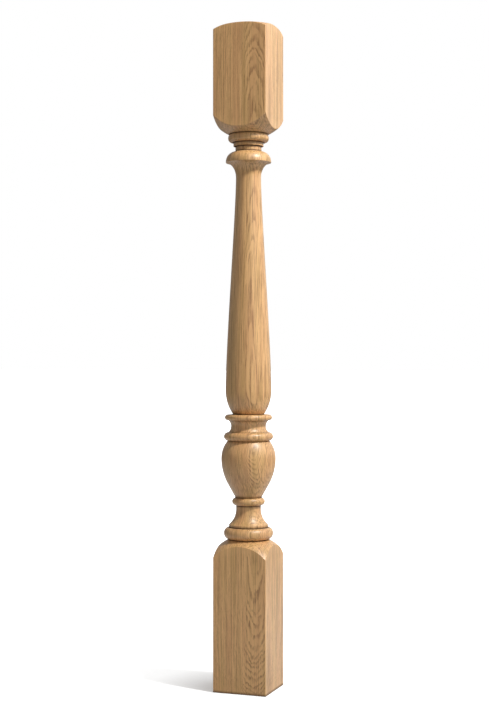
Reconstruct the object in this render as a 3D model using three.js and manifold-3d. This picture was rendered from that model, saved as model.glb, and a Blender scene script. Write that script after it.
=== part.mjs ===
// A turned oak newel post. One blank is left square at its foot and head and turned between them,
// so the post is a single solid: the square blank and the turned profile, where they overlap.
// Millimetres, +Z up. The origin is the centre of the underside, which stands on the floor.
import * as THREE from "three";
import { mergeVertices } from "three/addons/utils/BufferGeometryUtils.js";
import Module from "manifold-3d";

// The blank
const postHeight = 1200;
const blankSide = 100;
const arrisRadius = 1;
const turningAllowance = 0.6;

// Foot block: square up to its corners, then a turned shoulder up to the first quirk
const footSquareHeight = 241;
const shoulderHeight = 30;
const shoulderInnerRadius = 37.5;
const shoulderBow = 3;

// Torus that sits on the foot block
const torusInnerRadius = 36;
const torusHeight = 21.2;
const torusDepth = 8.8;

// Apron: a fillet and a hollow that sweeps in to the ankle
const apronRadius = 35.5;
const apronFilletHeight = 5.1;
const apronHollowHeight = 27.5;
const ankleRadius = 22.6;
const ankleHeight = 7;

// Ankle bead
const ankleBeadHeight = 14;
const ankleBeadDepth = 7.2;

// Vase: a straight flank, a belly turned nearly to the faces of the blank, and a round shoulder
const vaseFootRadius = 23.7;
const vaseFlankRadius = 37.4;
const vaseFlankHeight = 24.5;
const vaseBellyRise = 47;
const vaseShoulderHeight = 31.5;
const vaseShoulderRadius = 38;

// Spool: a heavy bead, a hollow and a thin disc
const spoolBeadInnerRadius = 36.5;
const spoolBeadHeight = 15.5;
const spoolBeadDepth = 8.2;
const spoolRimRadius = 36.5;
const spoolThroatRadius = 31.6;
const spoolHollowHeight = 21.5;
const discInnerRadius = 37.6;
const discHeight = 10.5;
const discDepth = 5.4;

// Shaft: a rounded foot, a long taper with a slight swell, and a flare out to the lip of the cap
const shaftFootRadius = 27.9;
const shaftFootHeight = 43;
const shaftBellyRadius = 41.5;
const shaftNeckRadius = 22.8;
const taperFootPull = 78;
const taperNeckPull = 56;
const flareHeight = 27;

// Cap: a thin lip under a quarter-round
const lipRadius = 41.2;
const lipHeight = 1.8;
const capRoundHeight = 18;

// Collar between the cap and the head block
const collarRadius = 23.7;
const collarHeight = 9.7;
const collarFilletRadius = 27.3;
const collarFilletHeight = 7.1;
const collarBeadFootRadius = 30;
const collarBeadRadius = 37;
const collarBeadTopRadius = 35;
const collarBeadHeight = 14.3;

// Head block: the same shoulder turned over, square sides, and a shallow rounded top
const quirkWidth = 1.2;
const headSquareHeight = 153;
const crownHeight = 10.9;
const crownFlatRadius = 41;

// How finely the turned surface is cut into facets
const turns = 40;
const taperSteps = 12;
const longSteps = 6;
const shortSteps = 4;
const beadSteps = 6;
const arrisSteps = 3;

// Heights of the pieces that meet the shaft, from which the shaft takes what is left
const footStackHeight =
  footSquareHeight + shoulderHeight + quirkWidth + torusHeight + apronFilletHeight +
  apronHollowHeight + ankleHeight + ankleBeadHeight + vaseFlankHeight + vaseBellyRise +
  vaseShoulderHeight + spoolBeadHeight + spoolHollowHeight + discHeight;
const headStackHeight =
  lipHeight + capRoundHeight + collarHeight + collarFilletHeight + collarBeadHeight +
  quirkWidth + shoulderHeight + headSquareHeight + crownHeight;
const shaftHeight = postHeight - footStackHeight - headStackHeight;
const taperHeight = shaftHeight - shaftFootHeight - flareHeight;

// The radius that reaches the corners of the blank, and one that clears them
const cornerRadius = blankSide * Math.SQRT1_2;
const clearRadius = cornerRadius + shoulderBow;
const vaseBellyRadius = blankSide / 2 - turningAllowance;

// Collects the outline of a turning from its foot up, as points of radius and height.
class Turning {
  constructor() {
    this.points = [new THREE.Vector2(0, 0)];
  }

  get last() {
    return this.points[this.points.length - 1];
  }

  // A straight cut to a radius, rising by rise.
  line(radius, rise = 0) {
    this.points.push(new THREE.Vector2(radius, this.last.y + rise));
    return this;
  }

  // A curve given as a function of a share from 0 to 1 that returns [radius, height].
  curve(pointAt, steps) {
    for (let i = 1; i <= steps; i++) {
      this.points.push(new THREE.Vector2(...pointAt(i / steps)));
    }
    return this;
  }

  // A half-round of the given height that stands depth proud of where it begins.
  bead(height, depth, steps = beadSteps) {
    const { x, y } = this.last;
    const middle = y + height / 2;
    return this.curve((t) => {
      const angle = Math.PI * (t - 0.5);
      return [x + depth * Math.cos(angle), middle + (height / 2) * Math.sin(angle)];
    }, steps);
  }

  // A circular arc that is upright where it begins or, if not, where it ends.
  sweep(radius, rise, uprightFirst, steps = longSteps) {
    const { x, y } = this.last;
    const reach = Math.abs(radius - x);
    const arcRadius = (reach * reach + rise * rise) / (2 * reach);
    const full = Math.atan2(rise, arcRadius - reach);
    const side = Math.sign(radius - x);
    return this.curve((t) => {
      const angle = uprightFirst ? full * t : full * (1 - t);
      const away = arcRadius * (1 - Math.cos(angle));
      const along = arcRadius * Math.sin(angle);
      return uprightFirst ? [x + side * away, y + along] : [radius - side * away, y + rise - along];
    }, steps);
  }

  // A circular arc that lies level where it ends.
  roll(radius, rise, steps = shortSteps) {
    const { x, y } = this.last;
    const reach = Math.abs(radius - x);
    const arcRadius = (reach * reach + rise * rise) / (2 * rise);
    const full = Math.atan2(reach, arcRadius - rise);
    const side = Math.sign(radius - x);
    return this.curve((t) => {
      const angle = full * (1 - t);
      return [radius - side * arcRadius * Math.sin(angle), y + rise - arcRadius * (1 - Math.cos(angle))];
    }, steps);
  }

  // A quarter of an ellipse, upright where it begins and level where it ends.
  quarter(radius, rise, steps = shortSteps) {
    const { x, y } = this.last;
    return this.curve((t) => {
      const angle = (Math.PI / 2) * t;
      return [radius + (x - radius) * Math.cos(angle), y + rise * Math.sin(angle)];
    }, steps);
  }

  // A long taper, upright at both ends, that each pull holds upright for longer.
  taper(radius, rise, footPull, headPull, steps = taperSteps) {
    const { x, y } = this.last;
    const spline = new THREE.CubicBezierCurve(
      new THREE.Vector2(x, y),
      new THREE.Vector2(x, y + footPull),
      new THREE.Vector2(radius, y + rise - headPull),
      new THREE.Vector2(radius, y + rise),
    );
    return this.curve((t) => spline.getPoint(t).toArray(), steps);
  }

  // An arc between two points of the outline, whose middle stands bow outside its chord.
  bow(radius, rise, bow, steps = shortSteps) {
    const { x, y } = this.last;
    const chord = Math.hypot(radius - x, rise);
    const [outR, outZ] = [rise / chord, -(radius - x) / chord];
    return this.curve((t) => {
      const proud = 4 * bow * t * (1 - t);
      return [x + (radius - x) * t + outR * proud, y + rise * t + outZ * proud];
    }, steps);
  }
}

// The outline of the whole turning. At the two blocks it runs clear outside the blank.
function turnedOutline() {
  const outline = new Turning().line(clearRadius);

  // Foot block and its shoulder
  outline.line(clearRadius, footSquareHeight);
  outline.line(cornerRadius);
  outline.bow(shoulderInnerRadius, shoulderHeight, shoulderBow);
  outline.line(torusInnerRadius, quirkWidth);

  // Torus, apron and ankle
  outline.bead(torusHeight, torusDepth);
  outline.line(apronRadius);
  outline.line(apronRadius, apronFilletHeight);
  outline.sweep(ankleRadius, apronHollowHeight, false);
  outline.line(ankleRadius, ankleHeight);
  outline.bead(ankleBeadHeight, ankleBeadDepth);

  // Vase
  outline.line(vaseFootRadius);
  outline.line(vaseFlankRadius, vaseFlankHeight);
  outline.sweep(vaseBellyRadius, vaseBellyRise, false);
  outline.sweep(vaseShoulderRadius, vaseShoulderHeight, true);

  // Spool
  outline.line(spoolBeadInnerRadius);
  outline.bead(spoolBeadHeight, spoolBeadDepth);
  outline.line(spoolRimRadius);
  outline.sweep(spoolThroatRadius, spoolHollowHeight / 2, false, shortSteps);
  outline.sweep(spoolRimRadius, spoolHollowHeight / 2, true, shortSteps);
  outline.line(discInnerRadius);
  outline.bead(discHeight, discDepth);

  // Shaft
  outline.line(shaftFootRadius);
  outline.sweep(shaftBellyRadius, shaftFootHeight, false);
  outline.taper(shaftNeckRadius, taperHeight, taperFootPull, taperNeckPull);
  outline.quarter(lipRadius, flareHeight);

  // Cap and collar
  outline.line(lipRadius, lipHeight);
  outline.quarter(collarRadius, capRoundHeight);
  outline.line(collarRadius, collarHeight);
  outline.line(collarFilletRadius);
  outline.line(collarFilletRadius, collarFilletHeight);
  outline.line(collarBeadFootRadius);
  outline.sweep(collarBeadRadius, collarBeadHeight / 2, false, shortSteps);
  outline.sweep(collarBeadTopRadius, collarBeadHeight / 2, true, shortSteps);

  // Head block, its shoulder and its crown
  outline.line(shoulderInnerRadius, quirkWidth);
  outline.bow(cornerRadius, shoulderHeight, shoulderBow);
  outline.line(clearRadius);
  outline.line(clearRadius, headSquareHeight);
  outline.line(cornerRadius);
  outline.roll(crownFlatRadius, crownHeight);
  outline.line(0);
  return outline.points;
}

// The square blank, standing on the floor, with its four long edges eased.
function blankGeometry() {
  const flat = blankSide / 2 - arrisRadius;
  const square = new THREE.Shape();
  for (let corner = 0; corner < 4; corner++) {
    const from = (corner * Math.PI) / 2;
    const centre = new THREE.Vector2(flat, flat).rotateAround(new THREE.Vector2(), from);
    square.absarc(centre.x, centre.y, arrisRadius, from, from + Math.PI / 2, false);
  }
  square.closePath();
  return new THREE.ExtrudeGeometry(square, {
    depth: postHeight,
    bevelEnabled: false,
    curveSegments: arrisSteps,
  });
}

const wasm = await Module();
wasm.setup();

// A closed geometry as a solid that can be cut.
function solidOf(geometry) {
  const bare = geometry.clone();
  bare.deleteAttribute("normal");
  bare.deleteAttribute("uv");
  const merged = mergeVertices(bare, 1e-3);
  return new wasm.Manifold(
    new wasm.Mesh({
      numProp: 3,
      vertProperties: merged.getAttribute("position").array,
      triVerts: new Uint32Array(merged.index.array),
    }),
  );
}

// A solid back as a geometry with flat facets.
function geometryOf(solid) {
  const { vertProperties, triVerts } = solid.getMesh();
  const indexed = new THREE.BufferGeometry();
  indexed.setAttribute("position", new THREE.BufferAttribute(vertProperties, 3));
  indexed.setIndex(new THREE.BufferAttribute(triVerts, 1));
  const geometry = indexed.toNonIndexed();
  geometry.computeVertexNormals();
  return geometry;
}

const turning = new THREE.LatheGeometry(turnedOutline(), turns).rotateX(Math.PI / 2);
const solid = solidOf(blankGeometry()).intersect(solidOf(turning));

const oak = new THREE.MeshStandardMaterial({ color: 0xc49a6c, roughness: 0.42, metalness: 0 });
const newelPost = new THREE.Mesh(geometryOf(solid), oak);
newelPost.name = "newel_post";

const post = new THREE.Group();
post.add(newelPost);

export default post;
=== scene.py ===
"""A turned oak newel post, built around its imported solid.

One square blank of oak stands on the floor. Its foot and head are left square, and everything
between them is turned: torus, hollow, vase, spool, tapered shaft, cap and collar. The lathe also
rounds the ends of the two blocks, which is what leaves an arch on each of their faces.

Sizes are in millimetres unless a name says otherwise. Meshes are made in metres.
"""

from __future__ import annotations

import logging
import math
from dataclasses import dataclass, field, fields
from enum import Enum, IntEnum
from typing import Callable, Iterable, Sequence, Union

import bpy
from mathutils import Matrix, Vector

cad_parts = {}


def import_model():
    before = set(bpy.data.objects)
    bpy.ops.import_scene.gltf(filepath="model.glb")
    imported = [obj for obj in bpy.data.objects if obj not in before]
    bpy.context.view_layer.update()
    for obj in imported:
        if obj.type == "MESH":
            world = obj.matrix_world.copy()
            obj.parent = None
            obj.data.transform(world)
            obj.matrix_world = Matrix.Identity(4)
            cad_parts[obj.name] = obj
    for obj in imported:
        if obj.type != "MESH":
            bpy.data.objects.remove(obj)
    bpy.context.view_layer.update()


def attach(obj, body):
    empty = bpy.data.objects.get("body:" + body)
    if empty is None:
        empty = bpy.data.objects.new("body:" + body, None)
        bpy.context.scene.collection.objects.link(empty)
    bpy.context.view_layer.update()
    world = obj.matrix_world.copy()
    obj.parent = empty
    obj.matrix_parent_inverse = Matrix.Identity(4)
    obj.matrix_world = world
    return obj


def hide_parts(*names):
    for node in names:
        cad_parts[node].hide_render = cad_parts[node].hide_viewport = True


LOG = logging.getLogger("newel_post")
MM = 0.001

Point = tuple[float, float]
Triple = tuple[float, float, float]

# Where a straight change starts and ends, and the value at each
Slope = tuple[float, float, float, float]


# Node trees, written as formulas


class SocketKind(Enum):
    """What a node tree's input or output carries."""

    FLOAT = "NodeSocketFloat"
    VECTOR = "NodeSocketVector"
    GEOMETRY = "NodeSocketGeometry"
    MATERIAL = "NodeSocketMaterial"


class TreeKind(Enum):
    """The editor that a node group belongs to."""

    GEOMETRY = "GeometryNodeTree"
    SHADER = "ShaderNodeTree"


@dataclass(frozen=True)
class Port:
    """A named input or output of a node group."""

    name: str
    kind: SocketKind = SocketKind.FLOAT

    @classmethod
    def numbers(cls, *names: str) -> list[Port]:
        """Returns ports that carry one number each."""
        return [cls(name) for name in names]


def operator(operation: str, flipped: bool = False) -> Callable[[Wire, Number], Wire]:
    """Makes the method behind an arithmetic sign.

    Args:
        operation: What the Math node does.
        flipped: Whether the wire is the second operand.

    Returns:
        A method that adds the node and returns its result.
    """

    def method(wire: Wire, other: Number) -> Wire:
        """Returns the result of the operation."""
        return wire.graph.math(operation, *((other, wire) if flipped else (wire, other)))

    return method


class Wire:
    """One number that flows through a node tree, so that a formula can be written as one."""

    __add__, __radd__ = operator("ADD"), operator("ADD", flipped=True)
    __sub__, __rsub__ = operator("SUBTRACT"), operator("SUBTRACT", flipped=True)
    __mul__, __rmul__ = operator("MULTIPLY"), operator("MULTIPLY", flipped=True)
    __truediv__ = operator("DIVIDE")
    __lt__, __gt__ = operator("LESS_THAN"), operator("GREATER_THAN")
    at_least = operator("MAXIMUM")
    at_most = operator("MINIMUM")

    def __init__(self, graph: Graph, socket: bpy.types.NodeSocket) -> None:
        """Wraps an output socket.

        Args:
            graph: The tree that the socket is in.
            socket: The output that carries the number.
        """
        self.graph = graph
        self.socket = socket

    def __abs__(self) -> Wire:
        """Returns the number without its sign."""
        return self.graph.math("ABSOLUTE", self)

    def floor(self) -> Wire:
        """Returns the whole number below."""
        return self.graph.math("FLOOR", self)

    def sign(self) -> Wire:
        """Returns -1, 0 or 1."""
        return self.graph.math("SIGN", self)

    def clamped(self) -> Wire:
        """Returns the number held between 0 and 1."""
        return self.graph.math("ADD", self, 0.0, clamp=True)


Number = Union[Wire, float, int]
Feed = Union[Number, bpy.types.NodeSocket, bpy.types.Material, str, tuple, bool]


class Graph:
    """Adds nodes to one tree and links them."""

    ROWS = 8
    SPACING = (210, 170)

    def __init__(self, tree: bpy.types.NodeTree) -> None:
        """Takes an empty tree.

        Args:
            tree: The tree to build in.
        """
        self.tree = tree
        self.inlet: bpy.types.Node | None = None
        self.outlet: bpy.types.Node | None = None

    @classmethod
    def group(
        cls, name: str, kind: TreeKind, takes: Iterable[Port], gives: Iterable[Port]
    ) -> Graph:
        """Starts a node group.

        Args:
            name: The group's name.
            kind: Geometry or shader.
            takes: Its inputs, in order.
            gives: Its outputs, in order.

        Returns:
            A graph with the group's inlet and outlet in place.
        """
        tree = bpy.data.node_groups.new(name, kind.value)
        for way, ports in (("INPUT", takes), ("OUTPUT", gives)):
            for port in ports:
                tree.interface.new_socket(port.name, in_out=way, socket_type=port.kind.value)
        graph = cls(tree)
        graph.inlet = graph.add("NodeGroupInput")
        graph.outlet = graph.add("NodeGroupOutput")
        return graph

    def add(
        self, kind: str, feeds: dict[str, Feed] | None = None, **settings: object
    ) -> bpy.types.Node:
        """Adds a node.

        Args:
            kind: The node's type.
            feeds: What goes into its sockets, by name.
            **settings: The node's own properties.

        Returns:
            The node.
        """
        column, row = divmod(len(self.tree.nodes), self.ROWS)
        node = self.tree.nodes.new(kind)
        node.location = (column * self.SPACING[0], -row * self.SPACING[1])
        for name, value in settings.items():
            setattr(node, name, value)
        for name, value in (feeds or {}).items():
            self.plug(self.socket(node.inputs, name), value)
        return node

    @staticmethod
    def socket(sockets: Sequence[bpy.types.NodeSocket], name: str) -> bpy.types.NodeSocket:
        """Returns the first socket of that name that the node's settings leave in use."""
        return next(s for s in sockets if s.name == name and s.enabled and not s.is_unavailable)

    def plug(self, socket: bpy.types.NodeSocket, value: Feed) -> None:
        """Links a wire or socket to an input, or sets the input's own value."""
        if isinstance(value, Wire):
            value = value.socket
        if isinstance(value, bpy.types.NodeSocket):
            self.tree.links.new(value, socket)
        else:
            socket.default_value = value

    def fill(self, node: bpy.types.Node, *values: Feed) -> bpy.types.Node:
        """Feeds a node's inputs in order, and returns the node."""
        for socket, value in zip(node.inputs, values):
            self.plug(socket, value)
        return node

    def out(self, node: bpy.types.Node, name: str) -> Wire:
        """Returns a node's output by name."""
        return Wire(self, self.socket(node.outputs, name))

    def outs(self, node: bpy.types.Node, *names: str) -> tuple[Wire, ...]:
        """Returns several of a node's outputs by name."""
        return tuple(self.out(node, name) for name in names)

    def take(self, name: str) -> Wire:
        """Returns one of the group's inputs."""
        return Wire(self, self.inlet.outputs[name])

    def takes(self, *names: str) -> tuple[Wire, ...]:
        """Returns several of the group's inputs."""
        return tuple(self.take(name) for name in names)

    def give(self, name: str, value: Feed) -> None:
        """Feeds one of the group's outputs."""
        self.plug(self.outlet.inputs[name], value)

    def math(self, operation: str, *values: Number, clamp: bool = False) -> Wire:
        """Adds a Math node.

        Args:
            operation: What it does.
            *values: Its operands.
            clamp: Whether the result is held between 0 and 1.

        Returns:
            The result.
        """
        node = self.add("ShaderNodeMath", operation=operation, use_clamp=clamp)
        return Wire(self, self.fill(node, *values).outputs[0])

    def root(self, value: Wire) -> Wire:
        """Returns the square root of a number, or 0 where it is below 0."""
        return self.math("SQRT", value.at_least(0.0))

    def ramp(
        self, value: Number, start: Number, end: Number, low: Number = 0.0, high: Number = 1.0
    ) -> Wire:
        """Returns low before start, high after end, and a straight line between them."""
        feeds = {"Value": value, "From Min": start, "From Max": end, "To Min": low, "To Max": high}
        return self.out(self.add("ShaderNodeMapRange", feeds, clamp=True), "Result")

    def blend(self, low: Number, high: Number, share: Number) -> Wire:
        """Returns low where share is 0, high where it is 1, and a mix between."""
        feeds = {"Factor": share, "A": low, "B": high}
        return self.out(self.add("ShaderNodeMix", feeds, data_type="FLOAT"), "Result")

    def vector(self, x: Number, y: Number, z: Number) -> bpy.types.NodeSocket:
        """Returns a vector made of three numbers."""
        return self.add("ShaderNodeCombineXYZ", {"X": x, "Y": y, "Z": z}).outputs[0]

    def parts(self, vector: bpy.types.NodeSocket) -> tuple[Wire, Wire, Wire]:
        """Returns a vector's three numbers."""
        node = self.add("ShaderNodeSeparateXYZ", {"Vector": vector})
        x, y, z = (Wire(self, socket) for socket in node.outputs)
        return x, y, z

    def call(self, group: bpy.types.NodeTree, feeds: dict[str, Feed]) -> bpy.types.Node:
        """Places a node group.

        Args:
            group: The group.
            feeds: What goes into its inputs, by name.

        Returns:
            The node that holds the group.
        """
        geometry = self.tree.bl_idname == TreeKind.GEOMETRY.value
        kind = "GeometryNodeGroup" if geometry else "ShaderNodeGroup"
        node = self.add(kind, node_tree=group)
        for name, value in feeds.items():
            self.plug(node.inputs[name], value)
        return node


def titled(record: object) -> dict[str, float]:
    """Returns a dataclass's values under the names that they have as inputs of a node group."""
    return {f.name.replace("_", " ").title(): getattr(record, f.name) for f in fields(record)}


# The turner's outline


class Part(IntEnum):
    """Which rule places a station: the outline itself, or one of the two square blocks."""

    TURNING = 0
    FOOT = 1
    HEAD = 2


@dataclass(frozen=True)
class Station:
    """One ring of the post's surface.

    On a turned stretch, radius and height place the ring. On a block, share says how far it is
    along the block's outline: 0 to 1 over the lower end, 1 to 2 round the lower edge, 2 to 3 up
    the faces, 3 to 4 round the upper edge and 4 to 5 over the upper end.
    """

    radius: float = 0.0
    height: float = 0.0
    part: Part = Part.TURNING
    share: float = 0.0
    edge: float = 0.0
    # How much shade is painted here, deepest in a hollow corner
    crease: float = 0.0


@dataclass(frozen=True)
class Corner:
    """A hollow corner, where two strokes of the outline meet.

    Attributes:
        place: Radius and height of the corner.
        hollow: How sharply the outline turns in it, up to 1.
    """

    place: Point
    hollow: float


@dataclass
class Outline:
    """The outline of a turning from its foot up, as strokes that meet at slightly eased corners.

    Attributes:
        start: Radius and height where the outline begins.
        ease: How far from a corner its rounding begins.
        step: The longest step between two points of a curve.
        long_step: The same on a straight line.
        crease_width: How far the painted shade of a hollow corner reaches.
        strokes: What has been cut so far.
    """

    start: Point
    ease: float = 0.35
    step: float = 2.2
    long_step: float = 8.0
    crease_width: float = 2.0
    strokes: list[list[Point]] = field(default_factory=list)

    # The sharpest turn between two strokes that needs no easing, and the one of a full hollow
    SHARPEST_SMOOTH = math.radians(14)
    FULL_HOLLOW = math.radians(80)

    # The sharpest turn in one step of an arc, in radians
    STEP_TURN = 0.16

    # How near to both ends of a line its first inner points stand, and its fewest pieces
    LINE_MARGIN = 0.4
    LINE_PIECES = 3

    # How far from a corner its easing clears other points, and where it has points itself
    CLEARANCE = 1.2
    EASE_SHARES = (0.0, 0.33, 0.67, 1.0)

    # The share of a quirk's width that its near side takes
    QUIRK_ENTRY = 0.4

    @property
    def end(self) -> Point:
        """Radius and height where the outline has got to."""
        return self.strokes[-1][-1] if self.strokes else self.start

    def line(self, radius: float, rise: float = 0.0) -> None:
        """Cuts straight to a radius, rising by rise. Cuts nothing where it is there already."""
        (x, z), length = self.end, math.hypot(radius - self.end[0], rise)
        if not length:
            return
        near = min(self.LINE_MARGIN, length / 4) / length
        fewest = self.LINE_PIECES if length > self.step else 1
        pieces = max(fewest, round(length / self.long_step))
        shares = {0.0, near, 1 - near, 1.0, *(i / pieces for i in range(pieces))}
        self.strokes.append([(x + (radius - x) * t, z + rise * t) for t in sorted(shares)])

    def arc(self, radius: float, rise: float, centre: Point) -> None:
        """Cuts a circular arc about a centre to a radius, rising by rise."""
        (x, z), (cx, cz) = self.end, centre
        first = math.atan2(z - cz, x - cx)
        sweep = math.remainder(math.atan2(z + rise - cz, radius - cx) - first, math.tau)
        reach = math.hypot(x - cx, z - cz)
        by_length, by_turn = abs(sweep) * reach / self.step, abs(sweep) / self.STEP_TURN
        steps = max(4, math.ceil(by_length), math.ceil(by_turn))
        angles = (first + sweep * i / steps for i in range(steps + 1))
        self.strokes.append([(cx + reach * math.cos(a), cz + reach * math.sin(a)) for a in angles])

    def sweep(self, radius: float, rise: float, upright_first: bool) -> None:
        """Cuts a circular arc that is upright where it begins or, if not, where it ends."""
        (x, z), reach = self.end, radius - self.end[0]
        size = (reach * reach + rise * rise) / (2 * abs(reach)) * math.copysign(1, reach)
        self.arc(radius, rise, (x + size, z) if upright_first else (radius - size, z + rise))

    def bead(self, height: float, depth: float, steps: int = 14) -> None:
        """Cuts a half-round of that height that stands depth proud of where it begins."""
        x, z = self.end
        turns = (math.pi * (i / steps - 0.5) for i in range(steps + 1))
        half = height / 2
        arc = [(x + depth * math.cos(a), z + half + half * math.sin(a)) for a in turns]
        self.strokes.append(arc)

    def quarter(self, radius: float, rise: float, steps: int = 12) -> None:
        """Cuts a quarter of an ellipse, upright where it begins and level where it ends."""
        x, z = self.end
        turns = (math.pi / 2 * i / steps for i in range(steps + 1))
        arc = [(radius + (x - radius) * math.cos(a), z + rise * math.sin(a)) for a in turns]
        self.strokes.append(arc)

    def taper(
        self, radius: float, rise: float, foot_pull: float, head_pull: float, steps: int = 32
    ) -> None:
        """Cuts a long taper, upright at both ends, that each pull holds upright for longer."""
        x, z = self.end
        heights = (z, z + foot_pull, z + rise - head_pull, z + rise)
        points = []
        for i in range(steps + 1):
            t = i / steps
            weights = ((1 - t) ** 3, 3 * t * (1 - t) ** 2, 3 * t * t * (1 - t), t**3)
            along = x * (weights[0] + weights[1]) + radius * (weights[2] + weights[3])
            points.append((along, sum(w * h for w, h in zip(weights, heights))))
        self.strokes.append(points)

    def quirk(self, radius: float, width: float, depth: float) -> None:
        """Cuts a fine groove of that depth, whose far lip is at radius."""
        floor = min(self.end[0], radius) - depth
        self.line(floor, width * self.QUIRK_ENTRY)
        self.line(radius, width * (1 - self.QUIRK_ENTRY))

    def stations(self) -> list[Station]:
        """Returns the rings of the turning, with its corners eased and marked."""
        points, corners = self._eased()
        marked = []
        for radius, height, edge in points:
            near = (self._shade((radius, height), corner) for corner in corners)
            marked.append(Station(radius, height, edge=edge, crease=max(near, default=0.0)))
        return marked

    def _shade(self, place: Point, corner: Corner) -> float:
        """Returns how deep in a hollow corner a place is, from 0 to 1, which sets the shade painted
        there.
        """
        away = math.dist(place, corner.place) / self.crease_width
        return corner.hollow * math.exp(-away * away)

    def _eased(self) -> tuple[list[tuple[float, float, float]], list[Corner]]:
        """Returns the outline's points as radius, height and edge mark, and its hollow corners."""
        points = [(*p, 0.0) for p in self.strokes[0]]
        corners = []
        for before, after in zip(self.strokes, self.strokes[1:]):
            turn = self._turn(before, after)
            if abs(turn) < self.SHARPEST_SMOOTH:
                points += [(*p, 0.0) for p in after[1:]]
                continue
            corner = after[0]
            cut = min(self.ease, self._length(before) / 3, self._length(after) / 3)
            clear = cut * self.CLEARANCE
            while len(points) > 1 and math.dist(points[-1][:2], corner) < clear:
                points.pop()
            rest = [p for p in after[1:] if math.dist(p, corner) > clear]
            enter = self._towards(corner, points[-1][:2], cut)
            leave = self._towards(corner, rest[0], cut)
            edge = 1.0 if turn > 0 else 0.0
            along = tuple(zip(enter, corner, leave))
            for t in self.EASE_SHARES:
                bend = ((1 - t) ** 2, 2 * t * (1 - t), t * t)
                points.append((*(sum(w * p for w, p in zip(bend, axis)) for axis in along), edge))
            points += [(*p, 0.0) for p in rest]
            if turn < 0:
                corners.append(Corner(corner, min(1.0, -turn / self.FULL_HOLLOW)))
        return points, corners

    @staticmethod
    def _turn(before: list[Point], after: list[Point]) -> float:
        """Returns the angle between two strokes, above 0 where the corner stands proud."""
        heading = math.atan2(before[-1][1] - before[-2][1], before[-1][0] - before[-2][0])
        leaving = math.atan2(after[1][1] - after[0][1], after[1][0] - after[0][0])
        return math.remainder(leaving - heading, math.tau)

    @staticmethod
    def _length(stroke: list[Point]) -> float:
        """Returns the straight length of a stroke."""
        return math.dist(stroke[0], stroke[-1])

    @staticmethod
    def _towards(start: Point, end: Point, distance: float) -> Point:
        """Returns the point at a distance from start, on the way to end."""
        share = distance / math.dist(start, end)
        return (start[0] + (end[0] - start[0]) * share, start[1] + (end[1] - start[1]) * share)


# The sub-assemblies of the post, from the floor up


@dataclass(frozen=True)
class TurnedEnd:
    """The turned end of a square block, as a circular arc in the outline.

    The height at a radius is that of the circle's upper side, or of its lower side where
    arc_radius is below 0.
    """

    inner_radius: float = 0.0
    centre_radius: float = 0.0
    centre_height: float = 0.0
    arc_radius: float = 0.0

    @classmethod
    def bowed(cls, outer: Point, inner: Point, bow: float) -> TurnedEnd:
        """Fits an arc between two points.

        Args:
            outer: Radius and height where the arc leaves the corners of the blank.
            inner: Radius and height where it ends.
            bow: How far its middle stands outside the chord.

        Returns:
            The turned end.
        """
        chord = math.dist(outer, inner)
        size = (chord * chord / 4 + bow * bow) / (2 * bow)
        side = math.copysign(1, inner[1] - outer[1])
        out_r, out_z = abs(inner[1] - outer[1]) / chord, side * (outer[0] - inner[0]) / chord
        centre_r = (outer[0] + inner[0]) / 2 - (size - bow) * out_r
        centre_z = (outer[1] + inner[1]) / 2 - (size - bow) * out_z
        return cls(inner[0], centre_r, centre_z, side * size)

    def inputs(self, name: str) -> dict[str, float]:
        """Returns the values of the lathe tree's inputs for this end, in metres."""
        return {f"{name} {size}": value * MM for size, value in titled(self).items()}


@dataclass(frozen=True)
class Blank:
    """The square blank that the whole post is made from."""

    height: float = 1200.0
    side: float = 100.0
    arris_radius: float = 1.0
    edge_ease: float = 0.5

    @property
    def corner_radius(self) -> float:
        """The radius that reaches the corners of the blank."""
        return self.side * math.sqrt(0.5)


@dataclass(frozen=True)
class FootBlock:
    """The square foot, with the shoulder that the lathe cuts on it."""

    blank: Blank
    square_height: float = 241.0
    shoulder_height: float = 30.0
    shoulder_inner_radius: float = 37.5
    shoulder_bow: float = 3.0

    @property
    def top(self) -> Point:
        """Radius and height where the shoulder ends."""
        return (self.shoulder_inner_radius, self.square_height + self.shoulder_height)

    @property
    def shoulder(self) -> TurnedEnd:
        """The turned end on top of the block."""
        corner = (self.blank.corner_radius, self.square_height)
        return TurnedEnd.bowed(corner, self.top, self.shoulder_bow)

    def stations(self) -> list[Station]:
        """Returns the rings from the middle of the underside to the shoulder's inner edge."""
        return block_stations(Part.FOOT, lower=3, face=16, upper=12)


@dataclass(frozen=True)
class Torus:
    """The big ring on the foot block, and the hollow that sweeps in from it to the ankle."""

    quirk_width: float = 1.2
    quirk_depth: float = 1.4
    inner_radius: float = 36.0
    height: float = 21.2
    depth: float = 8.8
    apron_radius: float = 35.5
    fillet_height: float = 5.1
    hollow_height: float = 27.5
    ankle_radius: float = 22.6
    ankle_height: float = 7.0
    bead_height: float = 14.0
    bead_depth: float = 7.2

    def cut(self, outline: Outline) -> None:
        """Adds the torus, hollow, ankle and ankle bead to the outline."""
        outline.quirk(self.inner_radius, self.quirk_width, self.quirk_depth)
        outline.bead(self.height, self.depth)
        outline.line(self.apron_radius)
        outline.line(self.apron_radius, self.fillet_height)
        outline.sweep(self.ankle_radius, self.hollow_height, upright_first=False)
        outline.line(self.ankle_radius, self.ankle_height)
        outline.bead(self.bead_height, self.bead_depth)


@dataclass(frozen=True)
class Vase:
    """The vase: a straight flank, a belly nearly as wide as the blank, a round shoulder."""

    belly_radius: float
    foot_radius: float = 23.7
    flank_radius: float = 37.4
    flank_height: float = 24.5
    belly_rise: float = 47.0
    shoulder_height: float = 31.5
    shoulder_radius: float = 38.0

    def cut(self, outline: Outline) -> None:
        """Adds the vase to the outline."""
        outline.line(self.foot_radius)
        outline.line(self.flank_radius, self.flank_height)
        outline.sweep(self.belly_radius, self.belly_rise, upright_first=False)
        outline.sweep(self.shoulder_radius, self.shoulder_height, upright_first=True)


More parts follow.
